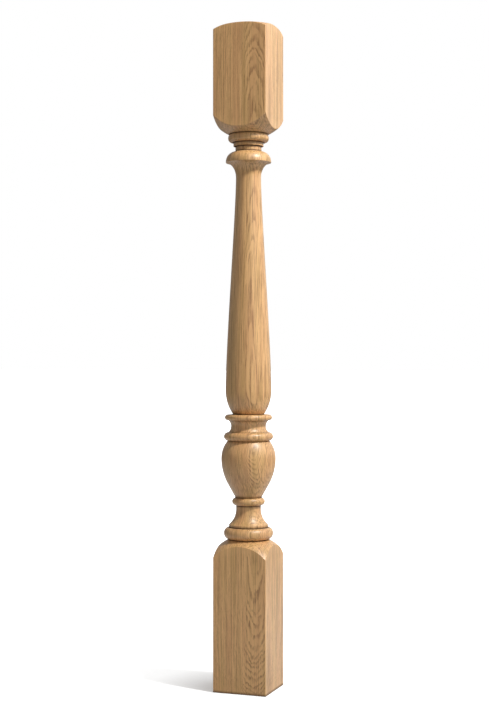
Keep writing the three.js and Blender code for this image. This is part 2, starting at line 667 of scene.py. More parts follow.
@dataclass(frozen=True)
class Spool:
    """The spool over the vase: a heavy bead, a hollow and a thin disc."""

    bead_inner_radius: float = 36.5
    bead_height: float = 15.5
    bead_depth: float = 8.2
    rim_radius: float = 36.5
    throat_radius: float = 31.6
    hollow_height: float = 21.5
    disc_inner_radius: float = 37.6
    disc_height: float = 10.5
    disc_depth: float = 5.4

    def cut(self, outline: Outline) -> None:
        """Adds the spool to the outline."""
        outline.line(self.bead_inner_radius)
        outline.bead(self.bead_height, self.bead_depth)
        outline.line(self.rim_radius)
        outline.sweep(self.throat_radius, self.hollow_height / 2, upright_first=False)
        outline.sweep(self.rim_radius, self.hollow_height / 2, upright_first=True)
        outline.line(self.disc_inner_radius)
        outline.bead(self.disc_height, self.disc_depth)


@dataclass(frozen=True)
class Shaft:
    """The shaft: a rounded foot, a long taper with a slight swell, and a flare to the cap's lip."""

    height: float
    lip_radius: float
    foot_radius: float = 27.9
    foot_height: float = 43.0
    belly_radius: float = 41.5
    neck_radius: float = 22.8
    foot_pull: float = 78.0
    neck_pull: float = 56.0
    flare_height: float = 27.0

    def cut(self, outline: Outline) -> None:
        """Adds the shaft to the outline."""
        taper_height = self.height - self.foot_height - self.flare_height
        outline.line(self.foot_radius)
        outline.sweep(self.belly_radius, self.foot_height, upright_first=False)
        outline.taper(self.neck_radius, taper_height, self.foot_pull, self.neck_pull)
        outline.quarter(self.lip_radius, self.flare_height)


@dataclass(frozen=True)
class Cap:
    """The cap: a thin lip under a quarter-round, and the collar that joins it to the head block."""

    lip_radius: float = 41.2
    lip_height: float = 1.8
    round_height: float = 18.0
    collar_radius: float = 23.7
    collar_height: float = 9.7
    fillet_radius: float = 27.3
    fillet_height: float = 7.1
    bead_foot_radius: float = 30.0
    bead_radius: float = 37.0
    bead_top_radius: float = 35.0
    bead_height: float = 14.3
    quirk_width: float = 1.2
    quirk_depth: float = 1.2

    @property
    def height(self) -> float:
        """The whole height from the lip to the head block."""
        collar = self.collar_height + self.fillet_height + self.bead_height + self.quirk_width
        return self.lip_height + self.round_height + collar

    def cut(self, outline: Outline, head_radius: float) -> None:
        """Adds the cap and collar to the outline.

        Args:
            outline: The outline to add to.
            head_radius: The radius where the head block's shoulder begins.
        """
        outline.line(self.lip_radius, self.lip_height)
        outline.quarter(self.collar_radius, self.round_height)
        outline.line(self.collar_radius, self.collar_height)
        outline.line(self.fillet_radius)
        outline.line(self.fillet_radius, self.fillet_height)
        outline.line(self.bead_foot_radius)
        outline.sweep(self.bead_radius, self.bead_height / 2, upright_first=False)
        outline.sweep(self.bead_top_radius, self.bead_height / 2, upright_first=True)
        outline.quirk(head_radius, self.quirk_width, self.quirk_depth)


@dataclass(frozen=True)
class HeadBlock:
    """The square head: the foot's shoulder turned over, and a shallow rounded crown."""

    blank: Blank
    shoulder_height: float = 30.0
    shoulder_inner_radius: float = 37.5
    shoulder_bow: float = 3.0
    square_height: float = 153.0
    crown_height: float = 10.9
    crown_flat_radius: float = 41.0

    @property
    def corner_height(self) -> float:
        """The height where the shoulder leaves the corners of the blank."""
        return self.blank.height - self.crown_height - self.square_height

    @property
    def foot(self) -> Point:
        """Radius and height where the shoulder begins."""
        return (self.shoulder_inner_radius, self.corner_height - self.shoulder_height)

    @property
    def shoulder(self) -> TurnedEnd:
        """The turned end under the block."""
        corner = (self.blank.corner_radius, self.corner_height)
        return TurnedEnd.bowed(corner, self.foot, self.shoulder_bow)

    @property
    def crown(self) -> TurnedEnd:
        """The turned end on top of the block, level where it meets the flat."""
        reach = self.blank.corner_radius - self.crown_flat_radius
        size = (reach * reach + self.crown_height**2) / (2 * self.crown_height)
        inner = self.crown_flat_radius
        return TurnedEnd(inner, inner, self.blank.height - size, size)

    def stations(self) -> list[Station]:
        """Returns the block's rings from the shoulder's inner edge to the middle of the top."""
        rings = block_stations(Part.HEAD, lower=12, face=12, upper=10)
        flat = [self.crown_flat_radius * share for share in (0.8, 0.5, 0.2, 0.0)]
        return rings + [Station(radius, self.blank.height) for radius in flat]


def block_stations(part: Part, lower: int, face: int, upper: int, edge: int = 4) -> list[Station]:
    """Returns the rings of a square block from its lower end to its upper end.

    Args:
        part: The block.
        lower: Steps over the lower end.
        face: Steps up the faces.
        upper: Steps over the upper end.
        edge: Steps round each eased edge.

    Returns:
        The rings, with one more at both ends of each broad piece, which keeps its edge crisp.
    """
    end_margin, face_margin = 0.02, 0.006
    pieces = ((lower, end_margin), (edge, 0), (face, face_margin), (edge, 0), (upper, end_margin))
    shares = []
    for piece, (steps, margin) in enumerate(pieces):
        margins = {margin, 1 - margin} if margin else set()
        inner = {i / steps for i in range(1, steps)} | margins
        shares += [piece, *(piece + share for share in sorted(inner))]
    return [Station(part=part, share=share) for share in (*shares, float(len(pieces)))]


# Geometry nodes that turn the outline and square its blocks


class LatheTree:
    """Builds the node tree that turns a post's stations into its surface.

    The surface is a grid with a row for every station. Its columns walk once round the square
    blank, in eighths: from the middle of a face to an arris, and back.
    """

    ENDS = ("Foot Shoulder", "Head Shoulder", "Head Crown")
    SIZES = ("Inner Radius", "Centre Radius", "Centre Height", "Arc Radius")
    WALK = ("Blank Side", "Arris Radius", "Face Columns", "Arris Columns")
    SUPPORT_ANGLE = math.radians(0.5)
    WELD = 0.01 * MM
    EIGHTHS = 8

    # A little over half a step of a station's share, for tests that take in both ends
    HALF = 0.51

    def build(self) -> bpy.types.NodeTree:
        """Builds the whole tree.

        Returns:
            A tree that takes a chain of stations and gives the closed post.
        """
        ends = (f"{end} {size}" for end in self.ENDS for size in self.SIZES)
        takes = [
            Port("Stations", SocketKind.GEOMETRY),
            *Port.numbers(*self.WALK, "Edge Ease", *ends),
            Port("Oak", SocketKind.MATERIAL),
        ]
        gives = [Port("Post", SocketKind.GEOMETRY)]
        g = Graph.group("Turned Post", TreeKind.GEOMETRY, takes, gives)
        stations = g.take("Stations").socket
        size = g.add("GeometryNodeAttributeDomainSize", {"Geometry": stations})
        rings = g.out(size, "Point Count")
        columns = (g.take("Face Columns") + g.take("Arris Columns")) * self.EIGHTHS + 1
        grid = g.add("GeometryNodeMeshGrid", {"Vertices X": columns, "Vertices Y": rings})
        index = g.out(g.add("GeometryNodeInputIndex"), "Index")
        column = ((index + 0.5) / rings).floor()
        ring = index - column * rings

        position = self._sample(g, stations, ring, "position", kind="FLOAT_VECTOR")
        radius, _, height = g.parts(position.socket)
        names = ("part", "share", "edge", "crease")
        part, share, edge, crease = (self._sample(g, stations, ring, name) for name in names)

        walk = {name: g.take(name) for name in self.WALK}
        section = g.call(self._section(), {"Column": column, **walk})
        angle, reach, on_arris = g.outs(section, "Angle", "Reach", "On Arris")

        outline = self._block_outline()
        common = {"Share": share, "Reach": reach, "Ease": g.take("Edge Ease")}
        foot = g.call(outline, {**common, **self._end_feeds(g, None, "Foot Shoulder")})
        head = g.call(outline, {**common, **self._end_feeds(g, "Head Shoulder", "Head Crown")})
        at_radius, at_height = (
            self._choose(g, part, turned, g.out(foot, name), g.out(head, name))
            for name, turned in (("Radius", radius), ("Height", height))
        )
        x, y = (at_radius * g.math(name, angle) for name in ("COSINE", "SINE"))
        feeds = {"Geometry": grid.outputs["Mesh"], "Position": g.vector(x, y, at_height)}
        surface = g.add("GeometryNodeSetPosition", feeds).outputs["Geometry"]

        on_block = part > 0.5
        on_faces = abs(share - 2.5) < 1 + self.HALF
        block_edge = g.out(foot, "On Edge").at_least(on_arris * on_faces)
        # The arris mask lightens edges, as worn wood and as a painted sheen; the crease mask paints
        # shade in hollow corners
        wear_and_sheen = edge.at_least(on_block * block_edge)
        for name, value in (("arris", wear_and_sheen), ("crease", crease)):
            feeds = {"Geometry": surface, "Name": name, "Value": value}
            stored = g.add("GeometryNodeStoreNamedAttribute", feeds, data_type="FLOAT")
            surface = stored.outputs["Geometry"]
        finishing = {
            "GeometryNodeMergeByDistance": {"Distance": self.WELD},
            "GeometryNodeSetShadeSmooth": {},
            "GeometryNodeRealizeInstances": {},
            "GeometryNodeSetMaterial": {"Material": g.take("Oak")},
        }
        for kind, feeds in finishing.items():
            surface = g.add(kind, {"Geometry": surface, **feeds}).outputs["Geometry"]
        g.give("Post", surface)
        return g.tree

    @staticmethod
    def _sample(
        g: Graph, stations: bpy.types.NodeSocket, ring: Wire, name: str, kind: str = "FLOAT"
    ) -> Wire:
        """Reads an attribute of the station that a ring stands on."""
        value = g.add("GeometryNodeInputNamedAttribute", {"Name": name}, data_type=kind)
        feeds = {"Geometry": stations, "Value": g.out(value, "Attribute"), "Index": ring}
        return g.out(g.add("GeometryNodeSampleIndex", feeds, data_type=kind), "Value")

    @staticmethod
    def _choose(g: Graph, which: Wire, *choices: Wire) -> Wire:
        """Returns the choice whose place in the list is the number which."""
        node = g.add("GeometryNodeIndexSwitch", data_type="FLOAT")
        while len(node.index_switch_items) < len(choices):
            node.index_switch_items.new()
        return g.out(g.fill(node, which, *choices), "Output")

    def _end_feeds(self, g: Graph, lower: str | None, upper: str) -> dict[str, Feed]:
        """Returns the feeds of a block outline for its two ends. No lower end is a flat base."""
        ends = {"Lower": lower, "Upper": upper}
        return {
            f"{side} {size}": g.take(f"{end} {size}") if end else 0.0
            for side, end in ends.items()
            for size in self.SIZES
        }

    def _section(self) -> bpy.types.NodeTree:
        """Builds the group that walks round the square blank, column by column."""
        takes = Port.numbers("Column", *self.WALK)
        gives = Port.numbers("Angle", "Reach", "On Arris")
        g = Graph.group("Blank Section", TreeKind.GEOMETRY, takes, gives)
        column, side, arris, face_columns, arris_columns = g.takes("Column", *self.WALK)
        eighth = face_columns + arris_columns
        half = side / 2
        flat = half - arris
        face = (column / (eighth * 2) + 0.5).floor()
        walked = column - face * eighth * 2
        step = abs(walked)

        rounding = g.math("ARCTAN2", flat, half)
        angle = g.ramp(step, 0.0, face_columns - 1, 0.0, rounding - self.SUPPORT_ANGLE)
        angle += g.ramp(step, face_columns - 1, face_columns, 0.0, self.SUPPORT_ANGLE)
        angle += g.ramp(step, face_columns, eighth, 0.0, math.pi / 4 - rounding)

        on_arris = step > face_columns - 0.5
        diagonal = flat * math.sqrt(2)
        lean = math.pi / 4 - angle
        aside = diagonal * g.math("SINE", lean)
        rounded = diagonal * g.math("COSINE", lean) + g.root(arris * arris - aside * aside)
        g.give("Angle", face * (math.pi / 2) + walked.sign() * angle)
        g.give("Reach", g.blend(half / g.math("COSINE", angle), rounded, on_arris))
        g.give("On Arris", on_arris)
        return g.tree

    def _arc_height(self) -> bpy.types.NodeTree:
        """Builds the group that gives a turned end's height at a radius."""
        takes, gives = Port.numbers("Radius", *self.SIZES[1:]), Port.numbers("Height")
        g = Graph.group("Arc Height", TreeKind.GEOMETRY, takes, gives)
        radius, centre_radius, centre_height, arc = g.takes("Radius", *self.SIZES[1:])
        aside = radius - centre_radius
        g.give("Height", centre_height + arc.sign() * g.root(arc * arc - aside * aside))
        return g.tree

    def _block_outline(self) -> bpy.types.NodeTree:
        """Builds the group that follows a square block's outline in one column, end to end."""
        ends = (f"{side} {size}" for side in ("Lower", "Upper") for size in self.SIZES)
        takes = Port.numbers("Share", "Reach", "Ease", *ends)
        gives = Port.numbers("Radius", "Height", "On Edge")
        g = Graph.group("Block Outline", TreeKind.GEOMETRY, takes, gives)
        share, reach, ease = g.takes("Share", "Reach", "Ease")
        pieces = ((share - piece).clamped() for piece in range(5))
        lower, low_edge, face, high_edge, upper = pieces
        inset = reach - ease

        radius = reach - ease * ((1 - low_edge) * (1 - low_edge) + high_edge * high_edge)
        radius -= (1 - lower) * (inset - g.take("Lower Inner Radius"))
        radius -= upper * (inset - g.take("Upper Inner Radius"))

        arc = self._arc_height()

        def height(side: str, at: Wire) -> Wire:
            """Returns the height of one end at a radius."""
            sizes = {size: g.take(f"{side} {size}") for size in self.SIZES[1:]}
            return g.out(g.call(arc, {"Radius": at, **sizes}), "Height")

        def rounded(first: Wire, corner: Wire, last: Wire, t: Wire) -> Wire:
            """Returns the height along an eased edge."""
            back = 1 - t
            return back * back * first + 2 * t * back * corner + t * t * last

        low, high = height("Lower", reach), height("Upper", reach)
        heights = (
            height("Lower", radius),
            rounded(height("Lower", inset), low, low + ease, low_edge),
            g.blend(low + ease, high - ease, face),
            rounded(high - ease, high, height("Upper", inset), high_edge),
            height("Upper", radius),
        )
        which = share.at_most(len(heights) - 1.0).floor()
        on_low, on_high = (abs(share - middle) < self.HALF for middle in (1.5, 3.5))
        g.give("Radius", radius)
        g.give("Height", self._choose(g, which, *heights))
        g.give("On Edge", on_low.at_least(on_high))
        return g.tree


# The oak and its lacquer


@dataclass(frozen=True)
class Grain:
    """One layer of noise in the wood.

    Attributes:
        size: How far it spreads in each direction, in millimetres.
        detail: How many finer layers it holds.
        rough: How strong those are.
        shift: How far it is moved, so that it differs from a layer of the same size.
        reach: How far apart its lowest and highest swing are.
        cut: Where a mask made of it begins, and where it is full.
    """

    size: tuple[float, ...]
    detail: float = 2.0
    rough: float = 0.5
    shift: float = 0.0
    reach: float = 1.0
    cut: tuple[float, float] = (0.0, 1.0)

    def noise(self, g: Graph, *place: Wire) -> Wire:
        """Returns the noise at a place, about 0.5 on average."""
        x, y, z = [at / size for at, size in zip(place, self.size)] + [0.0] * (3 - len(place))
        vector = g.vector(x + self.shift if self.shift else x, y, z)
        feeds = {"Vector": vector, "Scale": 1.0, "Detail": self.detail, "Roughness": self.rough}
        return Wire(g, g.add("ShaderNodeTexNoise", feeds, noise_dimensions="3D").outputs[0])

    def swing(self, g: Graph, *place: Wire, share: Number = 1.0) -> Wire:
        """Returns a share of the layer's swing at a place, about 0 on average."""
        return (self.noise(g, *place) - 0.5) * share * self.reach

    def mask(self, g: Graph, *place: Wire) -> Wire:
        """Returns the noise at a place, cut to a mask from 0 to 1."""
        return g.ramp(self.noise(g, *place), *self.cut)


@dataclass(frozen=True)
class GrowthRings:
    """The growth rings of the log. Each field is an input of the node group that finds them.

    The rings lie about a pith that runs up in front of the wide face, so that each face and each
    turned form shows its own cut through them. Across the wood each is a low ridge over the core
    and falls steeply beside it, which draws nested arches with straight lines at their sides.
    Along it they bow away towards both ends, sway once, and swell round the vase.

    Attributes:
        pith_x: How far the pith is from the axis, across the wide face.
        pith_y: How far it is from the axis, below 0 in front of the wide face.
        ring_spacing: The thickness of a ring.
        young_rings: How many rings crowd in where the youngest wood begins.
        core: Half the width of the core.
        core_growth: How much more that is where the bow is full.
        core_slope: How steep the ridge is towards the ends of the post.
        steepness: How steep the rings are beside the core.
        flatness: How much a millimetre of depth counts beside one across.
        bow: How far the rings bow away where the bow is full.
        bow_height: The height where they don't.
        bow_length: How far from there the bow is full.
        sway: How far the rings sway aside.
        sway_height: The height where they sway most.
        sway_length: How far the sway spreads up and down.
        swell: How far the rings swell.
        swell_height: The height where they swell most.
        swell_length: How far the swell spreads up and down.
        wander: How far the rings wander over the whole post.
    """

    pith_x: float = 30.0
    pith_y: float = -72.0
    ring_spacing: float = 2.9
    young_rings: float = 0.9
    core: float = 16.0
    core_growth: float = 6.0
    core_slope: float = 0.20
    steepness: float = 1.5
    flatness: float = 0.6
    bow: float = 32.0
    bow_height: float = 640.0
    bow_length: float = 590.0
    sway: float = 14.0
    sway_height: float = 720.0
    sway_length: float = 210.0
    swell: float = 16.0
    swell_height: float = 385.0
    swell_length: float = 50.0
    wander: float = 6.0

    DRIFT_ACROSS = Grain((80, 80, 90), reach=2.0)
    DRIFT_DEEP = Grain((80, 80, 130), shift=31, reach=1.5)
    RIPPLE = Grain((8, 20, 17), reach=4.5)
    JAGS = Grain((1.5, 9, 32), rough=0.6, reach=2.6)
    UNEVEN_RINGS = Grain((11,), detail=1.0, reach=1.8)

    # The share of the ripple and jags at the height where nothing bows
    CALM = 0.3

    # What rounds off the foot of the steep sides, and the ridge
    SIDE_SOFTNESS = 16.0
    RIDGE_SOFTNESS = 6.0

    # How many times steeper the ridge is from the middle to the ends, and what the swell adds
    RIDGE_GAIN = (0.1, 0.6, 2.6, 1.0)
    SWELL_SLOPE = 0.018

    # How far from the pith the youngest wood begins, and how fast its rings crowd
    YOUNG_WOOD = 45.0
    YOUNG_FALL = 5.0

    # How bold the early wood is from the middle to the ends, and what the swell adds
    BOLDNESS = (0.0, 0.9, 0.54, 0.90)
    SWELL_BOLDNESS = 0.016

    # Where in a ring its early wood sets in, and where it fades
    EARLY_START = (0.0, 0.08)
    EARLY_FADE = (0.25, 0.58, 1.0, 0.0)

    # The radius that turns an angle about the pith into a length
    ROUND_RADIUS = 130.0

    def group(self) -> bpy.types.NodeTree:
        """Builds the group that finds the growth ring at a place in the log."""
        takes = [Port("Place", SocketKind.VECTOR), *Port.numbers(*titled(self))]
        gives = Port.numbers("Early Wood", "Ring Tone", "From Pith", "Round Pith", "Boldness")
        g = Graph.group("Growth Rings", TreeKind.SHADER, takes, gives)
        x, y, z = g.parts(g.take("Place").socket)
        wander = g.take("Wander")
        drift_x = self.DRIFT_ACROSS.swing(g, x, y, z, share=wander)
        drift_y = self.DRIFT_DEEP.swing(g, x, y, z, share=wander)
        rise = (z - g.take("Bow Height")) / g.take("Bow Length")
        off_middle = rise * rise
        bend = off_middle * off_middle
        restless = self.CALM + off_middle * (1 - self.CALM)

        def hump(name: str) -> Wire:
            """Returns a smooth hump along the grain."""
            off = (z - g.take(f"{name} Height")) / g.take(f"{name} Length")
            return g.take(name) * g.math("EXPONENT", 0 - off * off)

        across = x + drift_x + hump("Sway") - g.take("Pith X")
        swell = hump("Swell")
        depth = y * g.take("Flatness") - g.take("Pith Y") + g.take("Bow") * bend + swell + drift_y
        beyond = abs(across) - g.take("Core") - g.take("Core Growth") * bend
        soft_beyond = beyond + g.root(beyond * beyond + self.SIDE_SOFTNESS)
        side = soft_beyond * 0.5 * g.take("Steepness")
        ripple = self.RIPPLE.swing(g, x, y, z, share=restless)
        jagged = self.JAGS.swing(g, x, y, z, share=restless)
        slope = g.take("Core Slope") * g.ramp(off_middle, *self.RIDGE_GAIN)
        slope += swell * self.SWELL_SLOPE
        ridge = g.root(across * across + self.RIDGE_SOFTNESS) * slope
        away = depth + ridge + side + ripple + jagged

        crowded = g.math("EXPONENT", (self.YOUNG_WOOD - away) / self.YOUNG_FALL)
        young = crowded * g.take("Young Rings")
        count = away / g.take("Ring Spacing") + young + self.UNEVEN_RINGS.swing(g, away)
        whole = count.floor()
        phase = count - whole
        tone = g.add("ShaderNodeTexWhiteNoise", {"W": whole}, noise_dimensions="1D")
        boldness = g.ramp(off_middle, *self.BOLDNESS) + swell * self.SWELL_BOLDNESS
        early = g.ramp(phase, *self.EARLY_START) * g.ramp(phase, *self.EARLY_FADE) * boldness
        g.give("Early Wood", early)
        g.give("Ring Tone", g.out(tone, "Value"))
        g.give("Boldness", boldness)
        g.give("From Pith", away)
        g.give("Round Pith", g.math("ARCTAN2", across, depth) * self.ROUND_RADIUS)
        return g.tree


class OakFibre:
    """The pores, strokes, streaks, rays and patches that run along the grain."""

    PORES = Grain((0.42, 0.42, 6.5), detail=1.0, cut=(0.56, 0.68))
    STROKES = Grain((2.8, 6, 22), detail=3.0, rough=0.6, cut=(0.38, 0.62))
    STREAKS = Grain((1.7, 7, 200), rough=0.6, cut=(0.32, 0.68))
    RAYS = Grain((0.9, 9, 11), detail=1.0, cut=(0.60, 0.74))
    PATCHES = Grain((15, 15, 260), detail=1.0, shift=7, cut=(0.28, 0.72))

    INPUTS = ("Early Wood", "Round Pith", "From Pith")

    # The share of the pores that the late wood keeps
    LATE_PORES = 0.15

    def group(self) -> bpy.types.NodeTree:
        """Builds the group that draws every kind of fibre as a mask."""
        takes = [Port("Place", SocketKind.VECTOR), *Port.numbers(*self.INPUTS)]
        gives = Port.numbers("Pores", "Strokes", "Streaks", "Rays", "Patches")
        g = Graph.group("Oak Fibre", TreeKind.SHADER, takes, gives)
        x, y, z = g.parts(g.take("Place").socket)
        early, round_pith, from_pith = g.takes(*self.INPUTS)
        kept = self.LATE_PORES + early * (1 - self.LATE_PORES)
        g.give("Pores", self.PORES.mask(g, x, y, z) * kept)
        g.give("Strokes", self.STROKES.mask(g, x, y, z))
        g.give("Streaks", self.STREAKS.mask(g, x, y, z))
        g.give("Rays", self.RAYS.mask(g, round_pith, from_pith, z))
        g.give("Patches", self.PATCHES.mask(g, x, y, z))
        return g.tree


@dataclass(frozen=True)
class OakFinish:
    """Solid oak under a clear satin lacquer. Colours are scene-linear.

    Attributes:
        name: The material's name.
        straw: The lightest wood.
        tan: The darkest rings and streaks.
        pore: An open pore.
        shade: The painted shade in a hollow corner and along the last of the post above the floor.
        russet: The warmer patches.
        olive: The greener patches.
        roughness: The bare wood's, before its fibre and edges change it.
        shine: How strongly the bare wood shines.
        lacquer: How much of the wood the lacquer covers.
        lacquer_roughness: The lacquer's own.
        refraction: The refractive index of wood and lacquer.
        rings: The growth rings.
        fibre: The fibre along the grain.
    """

    name: str = "Satin lacquered oak"
    straw: Triple = (0.745, 0.429, 0.171)
    tan: Triple = (0.29, 0.140, 0.040)
    pore: Triple = (0.17, 0.070, 0.020)
    shade: Triple = (0.030, 0.008, 0.001)
    russet: Triple = (0.56, 0.270, 0.108)
    olive: Triple = (0.47, 0.280, 0.082)
    roughness: float = 0.52
    shine: float = 0.5
    lacquer: float = 0.80
    lacquer_roughness: float = 0.38
    refraction: float = 1.5
    rings: GrowthRings = field(default_factory=GrowthRings)
    fibre: OakFibre = field(default_factory=OakFibre)

    # From straw to tan: the plain wood, a ring that no stroke crosses, the spread of the rings'
    # tones, and the streaks, which are the stronger the fainter the rings are
    PLAIN_WOOD = 0.18
    BARE_RING = 0.20
    RING_TONES = 0.30
    STREAK_TONES = 1.75

    # How far each mark takes the colour towards its own
    RUSSET_SHARE = (0.55, 0.85, 0.0, 0.35)
    OLIVE_SHARE = (0.45, 0.15, 0.0, 0.40)
    RAY_SHARE = 0.30
    PORE_SHARE = 0.55
    # The edges' share lightens them as worn wood and as a painted sheen
    WORN_SHARE = 0.28

    # The painted shade by the height above the floor, strong at the floor and gone a few
    # millimetres up
    FLOOR_SHADE = (0.5, 5.5, 0.85, 0.0)

    # What streaks, pores, worn edges and hollow corners add to the roughness
    ROUGHER = (0.08, 0.12, -0.06, 0.3)

    # The relief: its strength, its depth in metres, and the part of pores and streaks in it
    BUMP_STRENGTH = 0.35
    BUMP_DEPTH = 0.00025
    PORE_RELIEF = 0.7
    STREAK_RELIEF = 0.25

    def build(self) -> bpy.types.Material:
        """Builds the material.

        Returns:
            The oak.
        """
        material = bpy.data.materials.new(self.name)
        material.use_nodes = True
        material.node_tree.nodes.clear()
        g = Graph(material.node_tree)
        metres = g.add("ShaderNodeTexCoord").outputs["Object"]
        feeds = {"Vector": metres, "Scale": (1 / MM, 1 / MM, 1 / MM)}
        place = g.add("ShaderNodeMapping", feeds, vector_type="POINT").outputs["Vector"]
        rings = g.call(self.rings.group(), {"Place": place, **titled(self.rings)})
        feeds = {name: rings.outputs[name] for name in self.fibre.INPUTS}
        fibre = g.call(self.fibre.group(), {"Place": place, **feeds})
        arris, crease = (
            g.out(g.add("ShaderNodeAttribute", attribute_name=name), "Fac")
            for name in ("arris", "crease")
        )
        # Painted shade: hollow corners and the last millimetres above the floor darken towards the
        # shade colour
        crease = crease.at_least(g.ramp(g.parts(place)[2], *self.FLOOR_SHADE))
        colour = self._colour(g, rings, fibre)
        # Edges lighten towards straw, as worn wood and as a painted sheen
        colour = self._tint(g, colour, arris * self.WORN_SHARE, self.straw)
        colour = self._tint(g, colour, crease, self.shade)
        pores, streaks = g.outs(fibre, "Pores", "Streaks")
        rough = self.roughness
        for mark, more in zip((streaks, pores, arris, crease), self.ROUGHER):
            rough = rough + mark * more
        feeds = {
            "Strength": self.BUMP_STRENGTH,
            "Distance": self.BUMP_DEPTH,
            "Height": 0.5 - pores * self.PORE_RELIEF + streaks * self.STREAK_RELIEF,
        }
        bump = g.add("ShaderNodeBump", feeds)
        feeds = {
            "Base Color": colour,
            "Roughness": rough,
            "IOR": self.refraction,
            "Specular IOR Level": self.shine,
            "Coat Weight": self.lacquer - crease * self.lacquer,
            "Coat Roughness": self.lacquer_roughness,
            "Coat IOR": self.refraction,
            "Normal": bump.outputs["Normal"],
        }
        shader = g.add("ShaderNodeBsdfPrincipled", feeds)
        g.add("ShaderNodeOutputMaterial", {"Surface": shader.outputs["BSDF"]})
        return material

    @staticmethod
    def _tint(g: Graph, colour: Feed, share: Number, tint: Triple) -> bpy.types.NodeSocket:
        """Returns a colour mixed towards a tint."""
        feeds = {"Factor": share, "A": colour, "B": (*tint, 1.0)}
        return g.out(g.add("ShaderNodeMix", feeds, data_type="RGBA"), "Result").socket

    def _colour(
        self, g: Graph, rings: bpy.types.Node, fibre: bpy.types.Node
    ) -> bpy.types.NodeSocket:
        """Mixes the wood's colours by ring, patch, streak, ray and pore."""
        early, tone, boldness = g.outs(rings, "Early Wood", "Ring Tone", "Boldness")
        strokes, streaks, patches = g.outs(fibre, "Strokes", "Streaks", "Patches")
        rays, pores = g.outs(fibre, "Rays", "Pores")
        ringed = early * (self.BARE_RING + strokes * (1 - self.BARE_RING))
        ringed += (tone - 0.5) * self.RING_TONES
        streaked = (streaks - 0.5) * (self.STREAK_TONES - boldness)
        depth = (self.PLAIN_WOOD + ringed + streaked).clamped()
        colour = self._tint(g, (*self.straw, 1.0), depth, self.tan)
        colour = self._tint(g, colour, g.ramp(patches, *self.RUSSET_SHARE), self.russet)
        colour = self._tint(g, colour, g.ramp(patches, *self.OLIVE_SHARE), self.olive)
        colour = self._tint(g, colour, rays * self.RAY_SHARE, self.straw)
        return self._tint(g, colour, pores * self.PORE_SHARE, self.pore)


# The post


@dataclass
class NewelPost:
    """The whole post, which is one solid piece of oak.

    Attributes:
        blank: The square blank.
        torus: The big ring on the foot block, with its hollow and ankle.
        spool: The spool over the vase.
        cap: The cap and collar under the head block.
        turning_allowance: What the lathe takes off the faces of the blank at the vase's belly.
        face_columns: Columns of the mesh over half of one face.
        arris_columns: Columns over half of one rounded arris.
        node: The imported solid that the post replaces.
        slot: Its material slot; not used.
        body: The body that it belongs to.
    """

    blank: Blank = field(default_factory=Blank)
    torus: Torus = field(default_factory=Torus)
    spool: Spool = field(default_factory=Spool)
    cap: Cap = field(default_factory=Cap)
    turning_allowance: float = 0.6
    face_columns: int = 20
    arris_columns: int = 3
    node: str = "newel_post"
    slot: str = "oak"
    body: str = "root"

    def __post_init__(self) -> None:
        """Makes the two blocks and the vase, which take their sizes from the blank."""
        self.foot = FootBlock(self.blank)
        self.head = HeadBlock(self.blank)
        self.vase = Vase(belly_radius=self.blank.side / 2 - self.turning_allowance)

    def stations(self) -> list[Station]:
        """Returns every ring of the post, from the middle of its underside to that of its top."""
        outline = Outline(start=self.foot.top)
        self.torus.cut(outline)
        self.vase.cut(outline)
        self.spool.cut(outline)
        shaft_height = self.head.foot[1] - self.cap.height - outline.end[1]
        Shaft(height=shaft_height, lip_radius=self.cap.lip_radius).cut(outline)
        self.cap.cut(outline, head_radius=self.head.shoulder_inner_radius)
        return [*self.foot.stations(), *outline.stations(), *self.head.stations()]

    def build(self, finish: OakFinish) -> bpy.types.Object:
        """Builds the post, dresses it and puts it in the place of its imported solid.

        Args:
            finish: The oak to make it of.

        Returns:
            The post.
        """
        post = self._chain(self.stations())
        self._turn(post, finish.build())
        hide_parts(self.node)
        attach(post, self.body)
        LOG.info("newel post: %d faces", len(post.data.polygons))
        return post

    def _chain(self, stations: list[Station]) -> bpy.types.Object:
        """Makes the object whose mesh is the chain of stations."""
        mesh = bpy.data.meshes.new("stations")
        places = [(s.radius * MM, 0.0, s.height * MM) for s in stations]
        mesh.from_pydata(places, [(i, i + 1) for i in range(len(places) - 1)], [])
        for name in ("part", "share", "edge", "crease"):
            values = [float(getattr(s, name)) for s in stations]
            mesh.attributes.new(name, "FLOAT", "POINT").data.foreach_set("value", values)
        post = bpy.data.objects.new("newel_post_visual", mesh)
        bpy.context.collection.objects.link(post)
        return post

    def _turn(self, post: bpy.types.Object, oak: bpy.types.Material) -> None:
        """Turns the chain of stations into the closed surface, as a plain mesh."""
        tree = LatheTree().build()
        values = {
            "Blank Side": self.blank.side * MM,
            "Arris Radius": self.blank.arris_radius * MM,
            "Edge Ease": self.blank.edge_ease * MM,
            "Face Columns": float(self.face_columns),
            "Arris Columns": float(self.arris_columns),
            **self.foot.shoulder.inputs("Foot Shoulder"),
            **self.head.shoulder.inputs("Head Shoulder"),
            **self.head.crown.inputs("Head Crown"),
            "Oak": oak,
        }
        lathe = post.modifiers.new("Lathe", "NODES")
        lathe.node_group = tree
        for item in tree.interface.items_tree:
            if item.in_out == "INPUT" and item.name in values:
                lathe[item.identifier] = values[item.name]
        depsgraph = bpy.context.evaluated_depsgraph_get()
        turned = bpy.data.meshes.new_from_object(
            post.evaluated_get(depsgraph), preserve_all_data_layers=True, depsgraph=depsgraph
        )
        post.modifiers.clear()
        chain, post.data = post.data, turned
        bpy.data.meshes.remove(chain)
        turned.name = post.name


# The studio


WHITE = (1.0, 1.0, 1.0, 1.0)


def seen_and_felt(
    g: Graph, seen: bpy.types.NodeSocket, felt: bpy.types.NodeSocket
) -> bpy.types.NodeSocket:
    """Joins what the camera sees with what every other ray finds.

    Args:
        g: The tree to build in.
        seen: The shader for the camera.
        felt: The shader for every other ray.

    Returns:
        The shader that is both.
    """
    camera_ray = g.add("ShaderNodeLightPath").outputs["Is Camera Ray"]
    return g.fill(g.add("ShaderNodeMixShader"), camera_ray, felt, seen).outputs["Shader"]


